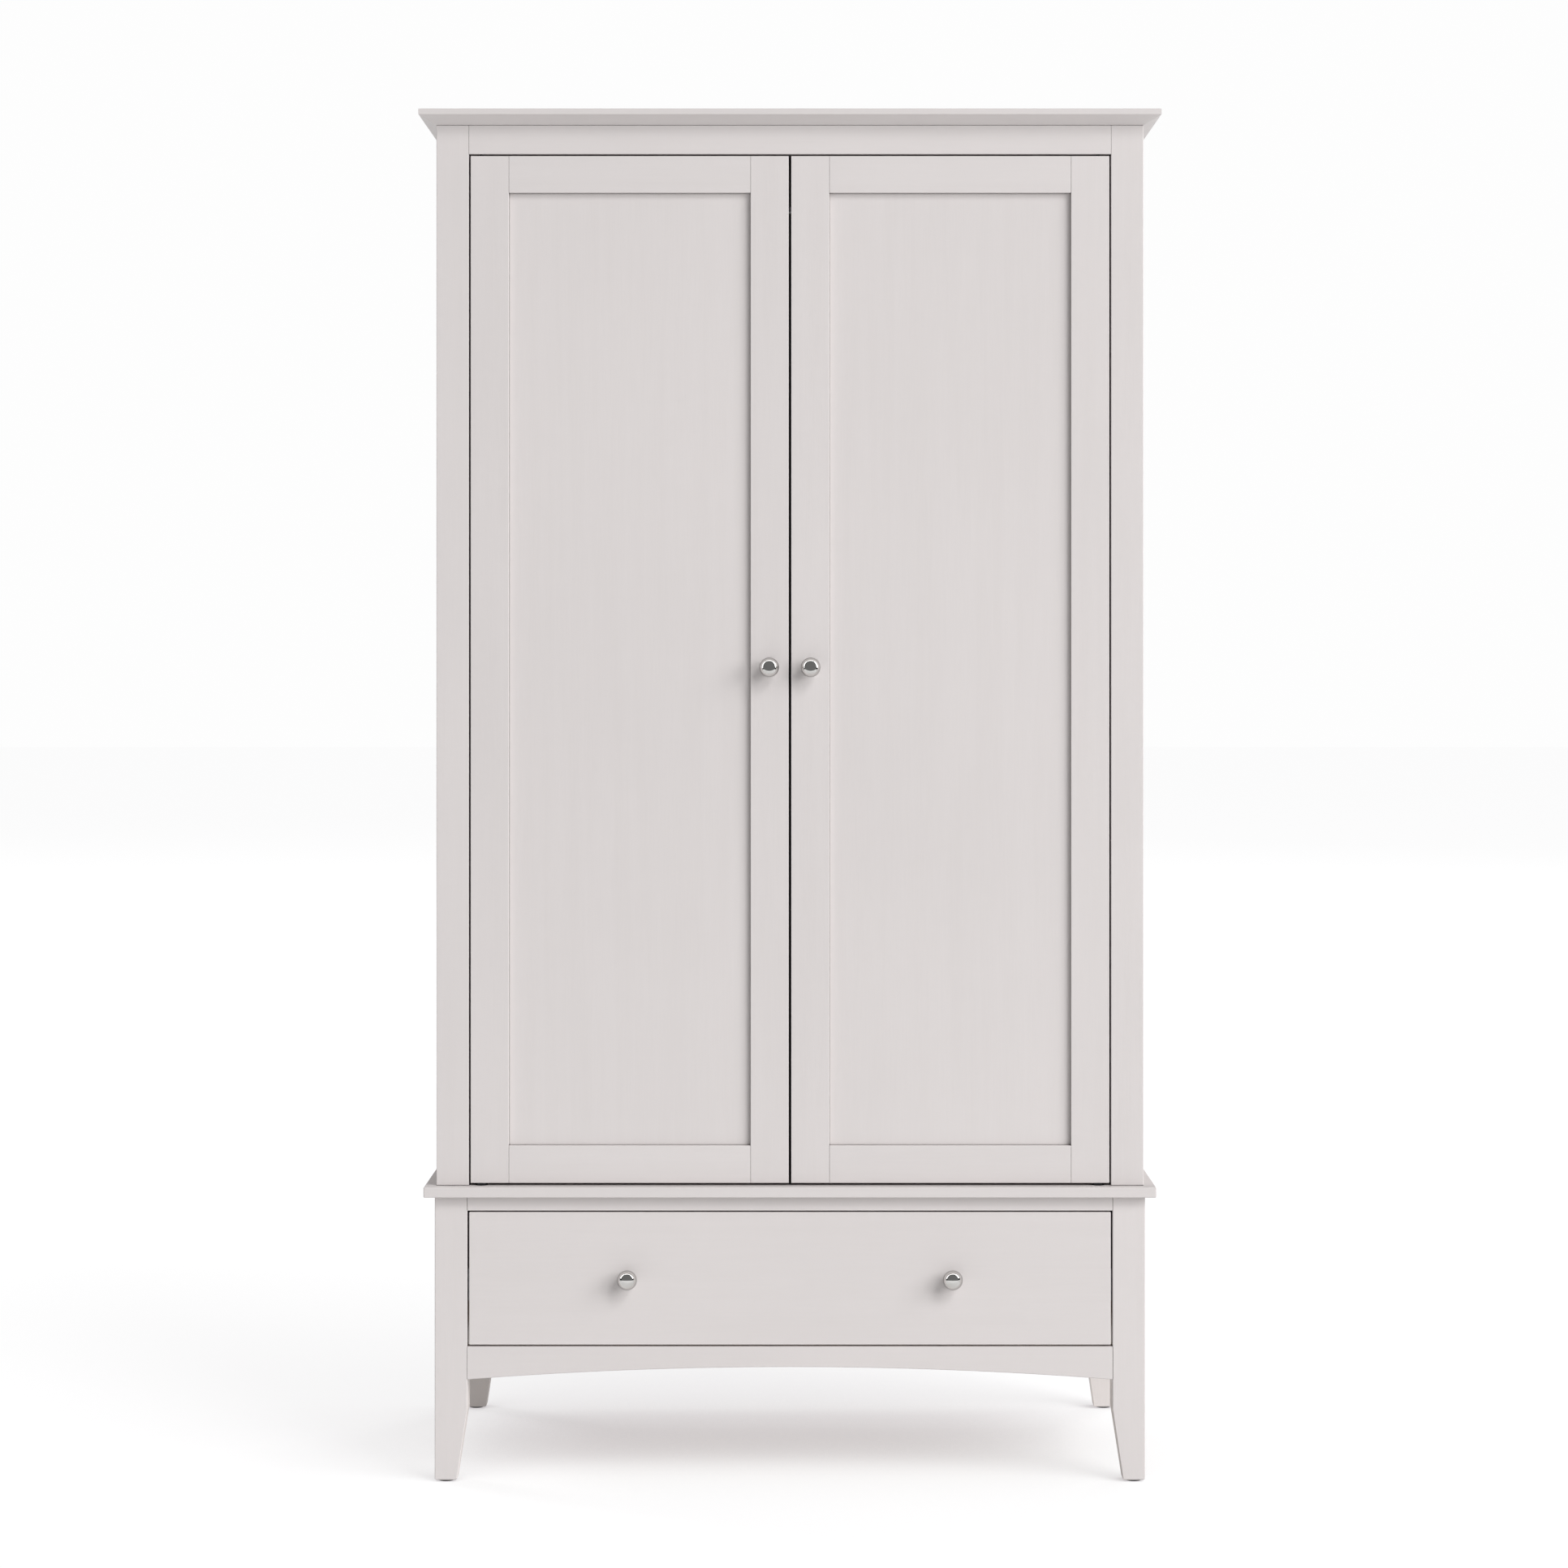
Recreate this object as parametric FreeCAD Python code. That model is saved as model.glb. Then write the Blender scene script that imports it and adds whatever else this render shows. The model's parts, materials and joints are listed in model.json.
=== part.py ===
import FreeCAD, Part
import os

from FreeCAD import Vector

os.makedirs("parts", exist_ok=True)

# ---------------------------------------------------------------------------
# Two-door wardrobe over one full-width drawer, on tapered legs.
# All sizes in millimetres. +Z up, the doors face -Y, +X is to the right of a
# person who stands in front of the doors. The origin is on the floor, at the
# centre of the footprint of the whole object.
# Depths are written as d: d = 0 is the front face of the upper posts and d
# grows towards the back of the wardrobe.
# ---------------------------------------------------------------------------

# overall
HEIGHT = 1900.0            # floor to top of cornice
EDGE_R = 0.8               # eased arris on painted boards

# upper case
UP_HALF_W = 490.0          # half width over the posts
UP_POST_W = 44.8           # post width, across
UP_POST_D = 45.0           # post depth, front to back
UP_REAR = 540.0            # d of the rear face of the rear posts
UP_IN = UP_HALF_W - UP_POST_W
CORNICE_T = 20.0           # thickness of the top board
CORNICE_FACE = 8.0         # upright part of its edge
CORNICE_OVER = 23.0        # overhang at the front and the sides
FRIEZE_Z0 = 1839.8         # underside of the frieze rail
REAR = 544.0               # d of the rear of legs, waist board and cornice

# waist board
WAIST_Z0 = 395.5
WAIST_Z1 = 410.0
WAIST_HALF_W = 506.5
WAIST_FRONT = -18.5
WAIST_R = 1.6

# lower case
LEG_HALF_W = 492.0         # half width over the legs
LEG_W = 45.0
LEG_FRONT = -4.0           # the lower case stands 4 mm proud of the upper one
LEG_IN = LEG_HALF_W - LEG_W
TAPER_Z = 100.0            # legs taper below this height, on two inner faces
TAPER_IN = 15.0            # taken off each inner face at the floor
GLIDE_T = 2.5
GLIDE_R = 10.0
DRAWER_RAIL_Z0 = 375.8     # underside of the rail over the drawer
ARCH_TOP = 187.6
ARCH_END_Z = 141.8         # lower edge of the arched rail at the legs
ARCH_MID_Z = 159.2         # lower edge of the arched rail at the middle
RAIL_T = 22.0              # thickness of the rails

# doors
DOOR_GAP = 2.5             # between door and post
MEET_GAP = 3.4             # between the two doors
DOOR_T = 22.0
DOOR_Z0 = 413.5
DOOR_Z1 = 1837.2
STILE_W = 53.0
TOP_RAIL_H = 51.0
BOTTOM_RAIL_H = 52.0
PANEL_RECESS = 7.0         # panel face behind the frame face
PANEL_GROOVE_T = 9.0
PANEL_T = 8.8
GROOVE_DEPTH = 9.0
TONGUE = 8.0

# door pivots: a pin at the top and at the bottom of each door
PIVOT_IN = 15.0            # pivot axis in from the outer edge of the door
PIVOT_BACK = 8.0           # pivot axis behind the front face of the door
PIN_R = 3.0
PIN_CLEAR = 0.05
BUSH_R = 5.0
BUSH_L = 16.0
COLLAR_R = 8.0
COLLAR_T = 3.2

# knobs
KNOB_R = 13.5
KNOB_PROJ = 30.0
KNOB_NECK_R = 4.6
KNOB_BASE_R = 6.5
KNOB_BASE_T = 1.6
DOOR_KNOB_X = 28.6
DOOR_KNOB_Z = 1128.5
DRAWER_KNOB_X = 225.0

# drawer
DRAWER_HALF_W = 444.4
DRAWER_Z0 = 190.0
DRAWER_Z1 = 373.8
DRAWER_FRONT_T = 20.0
BOX_HALF_W = 434.0
BOX_T = 14.0
BOX_Z0 = 205.0
BOX_Z1 = 345.0
BOX_D1 = 480.0
BOX_BOTTOM_Z = 212.0
BOX_BOTTOM_T = 6.0

# telescopic drawer runners
RUN_Z = 270.0
RUN_T = 1.4

# inside
BACK_D = 520.0             # front face of the back panels
BACK_T = 6.0
HANG_Z = 1795.0
HANG_D = 270.0
HANG_R = 12.5
HANG_WALL = 1.5
WALL_HOLE_R = 2.5
WALL_HOLE_X = 300.0
WALL_HOLE_Z = 1850.0

# the footprint runs from the drawer knobs to the rear of the legs
FRONT_MOST = LEG_FRONT - KNOB_PROJ
Y0 = -(FRONT_MOST + REAR) / 2.0


def box(x0, x1, d0, d1, z0, z1, r=0.0):
    """Board between the given limits, with an eased arris of radius r."""
    x0, x1 = min(x0, x1), max(x0, x1)
    s = Part.makeBox(x1 - x0, d1 - d0, z1 - z0, Vector(x0, d0 + Y0, z0))
    if r > 0:
        s = s.makeFillet(r, s.Edges)
    return s


def cyl_y(x, z, d0, d1, r):
    return Part.makeCylinder(r, abs(d1 - d0), Vector(x, min(d0, d1) + Y0, z), Vector(0, 1, 0))


def cyl_z(x, d, z0, z1, r):
    return Part.makeCylinder(r, z1 - z0, Vector(x, d + Y0, z0), Vector(0, 0, 1))


def cyl_x(x0, x1, d, z, r):
    return Part.makeCylinder(r, abs(x1 - x0), Vector(min(x0, x1), d + Y0, z), Vector(1, 0, 0))


def cut(s, *tools):
    for t in tools:
        s = s.cut(t)
    return s


def fuse(s, *tools):
    for t in tools:
        s = s.fuse(t)
    return s.removeSplitter()


def mirror(s):
    return s.mirror(Vector(0, 0, 0), Vector(1, 0, 0))


def sided(s, side):
    """side -1 is left, where the shapes are drawn; +1 mirrors to the right."""
    return s if side < 0 else mirror(s)


def frustum(low, high):
    """Solid with flat faces between two loops with the same number of corners."""
    n = len(low)
    faces = [Part.Face(Part.makePolygon(low + [low[0]])), Part.Face(Part.makePolygon(high + [high[0]]))]
    for i in range(n):
        j = (i + 1) % n
        faces.append(Part.Face(Part.makePolygon([low[i], low[j], high[j], high[i], low[i]])))
    s = Part.Solid(Part.Shell(faces))
    if s.Volume < 0:
        s.reverse()
    return s


def write(name, shape):
    solids = list(shape.Solids)
    out = solids[0] if len(solids) == 1 else Part.makeCompound(solids)
    for s in solids:
        if not s.isValid() or s.Volume <= 0:
            raise RuntimeError("bad solid in " + name)
    out.exportStep("parts/" + name + ".step")


def group(name, shapes):
    solids = []
    for s in shapes:
        solids.extend(s.Solids)
    write(name, Part.makeCompound(solids))


SIDES = ((-1, "left"), (1, "right"))

# ---------------------------------------------------------------------------
# dowels: one pins the top board to each upper post, and one runs through the
# waist board from each upper post into the leg below it
# ---------------------------------------------------------------------------
TOP_DOWEL = [(-UP_HALF_W + UP_POST_W / 2, UP_POST_D / 2), (-UP_HALF_W + UP_POST_W / 2, UP_REAR - UP_POST_D / 2)]
WAIST_DOWEL = [(-468.5, 20.5), (-468.5, 519.5)]
DOWEL_R = 4.0
TOP_DOWEL_Z = (1862.0, 1890.0)
WAIST_DOWEL_Z = (372.0, 434.0)
dowels = []
for x, d in TOP_DOWEL:
    dowels.append(cyl_z(x, d, TOP_DOWEL_Z[0], TOP_DOWEL_Z[1], DOWEL_R))
for x, d in WAIST_DOWEL:
    dowels.append(cyl_z(x, d, WAIST_DOWEL_Z[0], WAIST_DOWEL_Z[1], DOWEL_R + 1.0))
group("frame_dowels", dowels + [mirror(s) for s in dowels])


def top_dowel_hole(i):
    x, d = TOP_DOWEL[i]
    return cyl_z(x, d, TOP_DOWEL_Z[0] - 1, TOP_DOWEL_Z[1] + 0.5, DOWEL_R + 0.03)


def waist_dowel_hole(i):
    x, d = WAIST_DOWEL[i]
    return cyl_z(x, d, WAIST_DOWEL_Z[0] - 1, WAIST_DOWEL_Z[1] + 1, DOWEL_R + 1.03)


# ---------------------------------------------------------------------------
# top board with cornice edge: an upright lip over a shallow sloped underside
# at the front and both sides; the rear edge is square
# ---------------------------------------------------------------------------
cz0 = HEIGHT - CORNICE_T
cz1 = HEIGHT - CORNICE_FACE
co = UP_HALF_W + CORNICE_OVER


def rect(hw, d0, d1, z):
    return [Vector(-hw, d0 + Y0, z), Vector(hw, d0 + Y0, z), Vector(hw, d1 + Y0, z), Vector(-hw, d1 + Y0, z)]


slope = frustum(rect(UP_HALF_W, 0.0, REAR, cz0), rect(co, -CORNICE_OVER, REAR, cz1))
lip = box(-co, co, -CORNICE_OVER, REAR, cz1, HEIGHT)
cornice = slope.fuse(lip).removeSplitter()
edges = [e for e in cornice.Edges if all(abs(v.Z - HEIGHT) < 1e-6 for v in e.Vertexes)]
cornice = cornice.makeFillet(1.0, edges)
edges = [e for e in cornice.Edges
         if all(abs(v.Z - cz1) < 1e-6 for v in e.Vertexes)
         and not all(abs(v.Y - (REAR + Y0)) < 1e-3 for v in e.Vertexes)]
cornice = cornice.makeFillet(0.6, edges)
for i in (0, 1):
    cornice = cut(cornice, top_dowel_hole(i), mirror(top_dowel_hole(i)))
write("cornice_board", cornice)

# ---------------------------------------------------------------------------
# upper posts, drawn on the left; grooves hold the side and back panels and
# mortises hold the frieze rail and the rear rail
# ---------------------------------------------------------------------------
SP_X0, SP_X1 = -482.0, -473.0       # side panel and rail tongues, outer and inner face
front_post = box(-UP_HALF_W, -UP_IN, 0, UP_POST_D, WAIST_Z1, cz0, EDGE_R)
front_post = cut(front_post,
                 box(SP_X0 - 0.1, SP_X1 + 0.1, UP_POST_D - TONGUE - 0.2, UP_POST_D + 1, WAIST_Z1 - 1, cz0 + 1),
                 box(-UP_IN - 12.2, -UP_IN + 1, 13.9, 30.1, 1847.9, 1872.1),
                 top_dowel_hole(0), waist_dowel_hole(0))
rear_post = box(-UP_HALF_W, -UP_IN, UP_REAR - UP_POST_D, UP_REAR, WAIST_Z1, cz0, EDGE_R)
rear_post = cut(rear_post,
                box(SP_X0 - 0.1, SP_X1 + 0.1, UP_REAR - UP_POST_D - 1, UP_REAR - UP_POST_D + TONGUE + 0.2, WAIST_Z1 - 1, cz0 + 1),
                box(-UP_IN - 6.2, -UP_IN + 1, BACK_D - 0.1, BACK_D + BACK_T + 0.1, WAIST_Z1 - 1, cz0 + 1),
                box(-UP_IN - 12.2, -UP_IN + 1, 504.9, 515.1, 1829.9, 1870.1),
                top_dowel_hole(1), waist_dowel_hole(1))
for side, label in SIDES:
    write("upper_post_front_" + label, sided(front_post, side))
    write("upper_post_rear_" + label, sided(rear_post, side))

# frieze rail over the doors; the top door pins are set in its underside
PIN_X = UP_IN - DOOR_GAP - PIVOT_IN
PIN_D = PIVOT_BACK
frieze = box(-UP_IN, UP_IN, 0, UP_POST_D, FRIEZE_Z0, cz0, EDGE_R)
tenon = box(-UP_IN - 12, -UP_IN + 2, 14, 30, 1848, 1872)
frieze = fuse(frieze, tenon, mirror(tenon))
for sx in (-1, 1):
    frieze = cut(frieze, cyl_z(sx * PIN_X, PIN_D, FRIEZE_Z0 - 1, FRIEZE_Z0 + 16.5, PIN_R + 0.02))
write("frieze_rail", frieze)

# rear rail under the top board, inside the back panel; it takes the two
# screws that hold the wardrobe to a wall
rear_top = box(-UP_IN, UP_IN, 500, BACK_D - 0.1, 1820, cz0)
tenon = box(-UP_IN - 12, -UP_IN + 2, 505, 515, 1830, 1870)
rear_top = fuse(rear_top, tenon, mirror(tenon))
for sx in (-1, 1):
    rear_top = cut(rear_top, cyl_y(sx * WALL_HOLE_X, WALL_HOLE_Z, 495, 530, WALL_HOLE_R))
write("rear_top_rail", rear_top)

# ---------------------------------------------------------------------------
# upper sides: a panel in two rails between the posts
# ---------------------------------------------------------------------------
SR_X0, SR_X1 = -488.0, -468.0
sd0, sd1 = UP_POST_D, UP_REAR - UP_POST_D


def side_rail(z0, z1, groove_at_top):
    r = box(SR_X0, SR_X1, sd0, sd1, z0, z1, EDGE_R)
    t = box(SP_X0, SP_X1, sd0 - TONGUE, sd1 + TONGUE, z0, z1)
    r = fuse(r, t)
    if groove_at_top:
        g = box(SP_X0 - 0.1, SP_X1 + 0.1, sd0 - 20, sd1 + 20, z1 - TONGUE - 0.2, z1 + 1)
    else:
        g = box(SP_X0 - 0.1, SP_X1 + 0.1, sd0 - 20, sd1 + 20, z0 - 1, z0 + TONGUE + 0.2)
    return r.cut(g)


top_side_rail = side_rail(1820, cz0, False)
bottom_side_rail = side_rail(WAIST_Z1, 470, True)
group("upper_side_top_rails", [top_side_rail, mirror(top_side_rail)])
group("upper_side_bottom_rails", [bottom_side_rail, mirror(bottom_side_rail)])
side_panel = box(SP_X0, SP_X1, sd0 - TONGUE, sd1 + TONGUE, 470 - TONGUE, 1820 + TONGUE)
for side, label in SIDES:
    write("upper_side_panel_" + label, sided(side_panel, side))

# boarded back panel: shallow vee lines on its inner face
back = box(-UP_IN - 6.0, UP_IN + 6.0, BACK_D, BACK_D + BACK_T, WAIST_Z1, cz0)
pitch = 2 * UP_IN / 9.0
for i in range(1, 9):
    xc = -UP_IN + i * pitch
    p = [Vector(xc - 1.6, BACK_D - 0.4 + Y0, WAIST_Z1 - 1), Vector(xc + 1.6, BACK_D - 0.4 + Y0, WAIST_Z1 - 1),
         Vector(xc, BACK_D + 1.6 + Y0, WAIST_Z1 - 1)]
    vee = Part.Face(Part.makePolygon(p + [p[0]])).extrude(Vector(0, 0, cz0 - WAIST_Z1 + 2))
    back = back.cut(vee)
for sx in (-1, 1):
    back = cut(back, cyl_y(sx * WALL_HOLE_X, WALL_HOLE_Z, 495, 530, WALL_HOLE_R))
write("upper_back_panel", back)

# hanging rail in two flanged sockets
rail = cyl_x(-470.3, 470.3, HANG_D, HANG_Z, HANG_R).cut(cyl_x(-471, 471, HANG_D, HANG_Z, HANG_R - HANG_WALL))
write("hanging_rail", rail)
socket = fuse(cyl_x(-473, -470.5, HANG_D, HANG_Z, 22.0),
              cyl_x(-470.5, -458.5, HANG_D, HANG_Z, 16.0).cut(cyl_x(-470.5, -458, HANG_D, HANG_Z, HANG_R + 0.1)))
group("hanging_rail_sockets", [socket, mirror(socket)])

# ---------------------------------------------------------------------------
# waist board: floor of the upper case and top of the lower case
# ---------------------------------------------------------------------------
waist = box(-WAIST_HALF_W, WAIST_HALF_W, WAIST_FRONT, REAR, WAIST_Z0, WAIST_Z1, WAIST_R)
for i in (0, 1):
    waist = cut(waist, waist_dowel_hole(i), mirror(waist_dowel_hole(i)))
for sx in (-1, 1):
    waist = cut(waist, cyl_z(sx * PIN_X, PIN_D, WAIST_Z1 - 11.0, WAIST_Z1 + 1, PIN_R + 0.02))
write("waist_board", waist)

# door pivot pins: plain at the top; the bottom pins have a collar that the
# door turns on
pins = []
for sx in (-1, 1):
    pins.append(cyl_z(sx * PIN_X, PIN_D, DOOR_Z1 - 13.0, FRIEZE_Z0 + 16.0, PIN_R))
    pins.append(fuse(cyl_z(sx * PIN_X, PIN_D, WAIST_Z1 - 10.5, DOOR_Z0 + 13.0, PIN_R),
                     cyl_z(sx * PIN_X, PIN_D, WAIST_Z1, WAIST_Z1 + COLLAR_T, COLLAR_R)))
group("door_pivot_pins", pins)

# magnetic catches under the frieze rail, behind the meeting stiles
catch = box(-45, -11, DOOR_T + 1.6, DOOR_T + 17.6, FRIEZE_Z0 - 12.0, FRIEZE_Z0, 1.0)
group("magnetic_catches", [catch, mirror(catch)])

# ---------------------------------------------------------------------------
# legs: square above, tapered on the two inner faces below, eased at the foot
# ---------------------------------------------------------------------------


def leg(front):
    """Left leg; its outer side and its front (or rear) face are straight."""
    xo, xi = -LEG_HALF_W, -LEG_IN
    if front:
        do, di, sgn = LEG_FRONT, LEG_FRONT + LEG_W, 1.0
    else:
        do, di, sgn = REAR, REAR - LEG_W, -1.0
    def loop(x_in, d_in, z, grow=0.0):
        """Section of the leg with its four corners eased; grow < 0 shrinks it."""
        x0, x1 = xo - grow, x_in + grow
        da, db = do - sgn * grow, d_in + sgn * grow
        c = EDGE_R
        p = [(x0 + c, da), (x1 - c, da), (x1, da + sgn * c), (x1, db - sgn * c),
             (x1 - c, db), (x0 + c, db), (x0, db - sgn * c), (x0, da + sgn * c)]
        return [Vector(x, d + Y0, z) for x, d in p]

    def taper(z):
        return TAPER_IN * (TAPER_Z - z) / TAPER_Z

    foot_z = GLIDE_T + 1.6
    k0, k1 = taper(GLIDE_T), taper(foot_z)
    upper = frustum(loop(xi, di, TAPER_Z), loop(xi, di, WAIST_Z0))
    lower = frustum(loop(xi - k1, di - sgn * k1, foot_z), loop(xi, di, TAPER_Z))
    foot = frustum(loop(xi - k0, di - sgn * k0, GLIDE_T, -1.6), loop(xi - k1, di - sgn * k1, foot_z))
    return upper.fuse(lower).fuse(foot).removeSplitter()


LS_X0, LS_X1 = -489.0, -469.0       # lower side boards
LT_X0, LT_X1 = -483.0, -474.0       # their tongues
leg_f = leg(True)
leg_f = cut(leg_f,
            box(LT_X0 - 0.1, LT_X1 + 0.1, LEG_FRONT + LEG_W - TONGUE - 0.2, LEG_FRONT + LEG_W + 1, ARCH_END_Z, WAIST_Z0 + 1),
            box(-LEG_IN - 10.2, -LEG_IN + 1, 1.9, 12.1, 379.9, 390.1),
            box(-LEG_IN - 10.2, -LEG_IN + 1, 1.9, 12.1, 149.9, 180.1),
            waist_dowel_hole(0))
leg_r = leg(False)
leg_r = cut(leg_r,
            box(LT_X0 - 0.1, LT_X1 + 0.1, REAR - LEG_W - 1, REAR - LEG_W + TONGUE + 0.2, ARCH_END_Z, WAIST_Z0 + 1),
            box(-LEG_IN - 6.2, -LEG_IN + 1, BACK_D - 0.1, BACK_D + BACK_T + 0.1, ARCH_TOP, WAIST_Z0 + 1),
            box(-LEG_IN - 10.2, -LEG_IN + 1, 508.9, 519.1, 149.9, 180.1),
            waist_dowel_hole(1))
for side, label in SIDES:
    write("leg_front_" + label, sided(leg_f, side))
    write("leg_rear_" + label, sided(leg_r, side))

# one glide under each foot
gx = (LEG_HALF_W + LEG_HALF_W - LEG_W + TAPER_IN) / 2.0
gdf = LEG_FRONT + (LEG_W - TAPER_IN) / 2.0
gdr = REAR - (LEG_W - TAPER_IN) / 2.0
group("foot_glides", [cyl_z(sx * gx, d, 0, GLIDE_T, GLIDE_R) for sx in (-1, 1) for d in (gdf, gdr)])

# rail over the drawer
d0r = LEG_FRONT
top_rail = box(-LEG_IN, LEG_IN, d0r, d0r + RAIL_T, DRAWER_RAIL_Z0, WAIST_Z0, EDGE_R)
tenon = box(-LEG_IN - 10, -LEG_IN + 2, 2, 12, 380, 390)
write("drawer_top_rail", fuse(top_rail, tenon, mirror(tenon)))

# arched rail under the drawer: its lower edge rises to the middle on one arc
p0 = Vector(-LEG_IN, d0r + Y0, ARCH_END_Z)
pm = Vector(0, d0r + Y0, ARCH_MID_Z)
p1 = Vector(LEG_IN, d0r + Y0, ARCH_END_Z)
p2 = Vector(LEG_IN, d0r + Y0, ARCH_TOP)
p3 = Vector(-LEG_IN, d0r + Y0, ARCH_TOP)
wire = Part.Wire([Part.Arc(p0, pm, p1).toShape(), Part.LineSegment(p1, p2).toShape(),
                  Part.LineSegment(p2, p3).toShape(), Part.LineSegment(p3, p0).toShape()])
arch = Part.Face(wire).extrude(Vector(0, RAIL_T, 0))
arch = arch.makeChamfer(EDGE_R, [e for e in arch.Edges if e.Length > 800])
tenon = box(-LEG_IN - 10, -LEG_IN + 2, 2, 12, 150, 180)
write("arched_bottom_rail", fuse(arch, tenon, mirror(tenon)))

# rear bottom rail
rear_bottom = box(-LEG_IN, LEG_IN, 505, 505 + RAIL_T, ARCH_END_Z, ARCH_TOP, EDGE_R)
tenon = box(-LEG_IN - 10, -LEG_IN + 2, 509, 519, 150, 180)
write("rear_bottom_rail", fuse(rear_bottom, tenon, mirror(tenon)))

# lower sides and back
ld0, ld1 = LEG_FRONT + LEG_W, REAR - LEG_W
lower_side = fuse(box(LS_X0, LS_X1, ld0, ld1, ARCH_END_Z + 0.2, WAIST_Z0, EDGE_R),
                  box(LT_X0, LT_X1, ld0 - TONGUE, ld1 + TONGUE, ARCH_END_Z + 0.2, WAIST_Z0))
for side, label in SIDES:
    write("lower_side_panel_" + label, sided(lower_side, side))
write("lower_back_panel", box(-LEG_IN - 6.0, LEG_IN + 6.0, BACK_D, BACK_D + BACK_T, ARCH_TOP, WAIST_Z0))

# battens that bring the runners flush with the legs
batten = box(LS_X1, -LEG_IN, ld0, ld1, RUN_Z - 23, RUN_Z + 23)
group("runner_battens", [batten, mirror(batten)])

# ---------------------------------------------------------------------------
# telescopic runners: three channels a side, one inside the other
# ---------------------------------------------------------------------------


def channel(x_web0, x_web1, x_lip, half_h, d0, d1):
    """C section: an upright web and a lip at the top and the bottom."""
    web = box(x_web0, x_web1, d0, d1, RUN_Z - half_h, RUN_Z + half_h)
    a, b = (x_web1, x_lip) if x_lip > x_web1 else (x_lip, x_web0)
    top = box(a, b, d0, d1, RUN_Z + half_h - RUN_T, RUN_Z + half_h)
    bot = box(a, b, d0, d1, RUN_Z - half_h, RUN_Z - half_h + RUN_T)
    return fuse(web, top, bot)


outer = channel(-LEG_IN, -LEG_IN + RUN_T, -437.2, 22.4, 18, 468)
middle = channel(-442.6, -442.6 + RUN_T, -436.4, 18.5, 19, 467)
inner = channel(-BOX_HALF_W - RUN_T, -BOX_HALF_W, -439.8, 14.0, 17, 467)
group("runner_outer_members", [outer, mirror(outer)])
group("runner_middle_members", [middle, mirror(middle)])
group("runner_inner_members", [inner, mirror(inner)])

# ---------------------------------------------------------------------------
# drawer
# ---------------------------------------------------------------------------
dz = (DRAWER_Z0 + DRAWER_Z1) / 2.0
DF1 = LEG_FRONT + DRAWER_FRONT_T
SCREW_X = (120.0, 330.0)
front = box(-DRAWER_HALF_W, DRAWER_HALF_W, LEG_FRONT, DF1, DRAWER_Z0, DRAWER_Z1, 1.0)
box_front = box(-BOX_HALF_W + BOX_T, BOX_HALF_W - BOX_T, DF1, DF1 + BOX_T, BOX_Z0, BOX_Z1)
drawer_screws = []
for sx in (-1, 1):
    front = cut(front, cyl_y(sx * DRAWER_KNOB_X, dz, LEG_FRONT - 1, DF1 + 1, 2.2))
    box_front = cut(box_front, cyl_y(sx * DRAWER_KNOB_X, dz, DF1 - 1, DF1 + BOX_T + 1, 2.2))
    drawer_screws.append(fuse(cyl_y(sx * DRAWER_KNOB_X, dz, LEG_FRONT - 10, DF1 + BOX_T, 1.95),
                              cyl_y(sx * DRAWER_KNOB_X, dz, DF1 + BOX_T, DF1 + BOX_T + 2.2, 4.5)))
    for x in SCREW_X:
        front = cut(front, cyl_y(sx * x, dz, DF1 - 12.5, DF1 + 1, 1.85))
        box_front = cut(box_front, cyl_y(sx * x, dz, DF1 - 1, DF1 + BOX_T + 1, 1.85))
        drawer_screws.append(fuse(cyl_y(sx * x, dz, DF1 - 12, DF1 + BOX_T, 1.8),
                                  cyl_y(sx * x, dz, DF1 + BOX_T, DF1 + BOX_T + 2.0, 4.0)))
bz0, bz1 = BOX_BOTTOM_Z - 0.1, BOX_BOTTOM_Z + BOX_BOTTOM_T + 0.1
box_front = box_front.cut(box(-440, 440, DF1 + BOX_T - 6.0, DF1 + BOX_T + 1, bz0, bz1))
box_back = box(-BOX_HALF_W + BOX_T, BOX_HALF_W - BOX_T, BOX_D1 - BOX_T, BOX_D1, BOX_Z0, BOX_Z1)
box_back = box_back.cut(box(-440, 440, BOX_D1 - BOX_T - 1, BOX_D1 - BOX_T + 6.0, bz0, bz1))
box_side = box(-BOX_HALF_W, -BOX_HALF_W + BOX_T, DF1, BOX_D1, BOX_Z0, BOX_Z1)
box_side = box_side.cut(box(-BOX_HALF_W + BOX_T - 6.0, -BOX_HALF_W + BOX_T + 1,
                            DF1 + BOX_T - 6.0, BOX_D1 - BOX_T + 6.0, bz0, bz1))
box_bottom = box(-BOX_HALF_W + BOX_T - 5.8, BOX_HALF_W - BOX_T + 5.8,
                 DF1 + BOX_T - 5.8, BOX_D1 - BOX_T + 5.8, BOX_BOTTOM_Z, BOX_BOTTOM_Z + BOX_BOTTOM_T)
write("drawer_front", front)
write("drawer_box_front", box_front)
write("drawer_back", box_back)
write("drawer_bottom", box_bottom)
for side, label in SIDES:
    write("drawer_side_" + label, sided(box_side, side))
group("drawer_screws", drawer_screws)

# ---------------------------------------------------------------------------
# knobs: a ball on a short neck and a small collar, with a blind tapped hole
# ---------------------------------------------------------------------------


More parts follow.
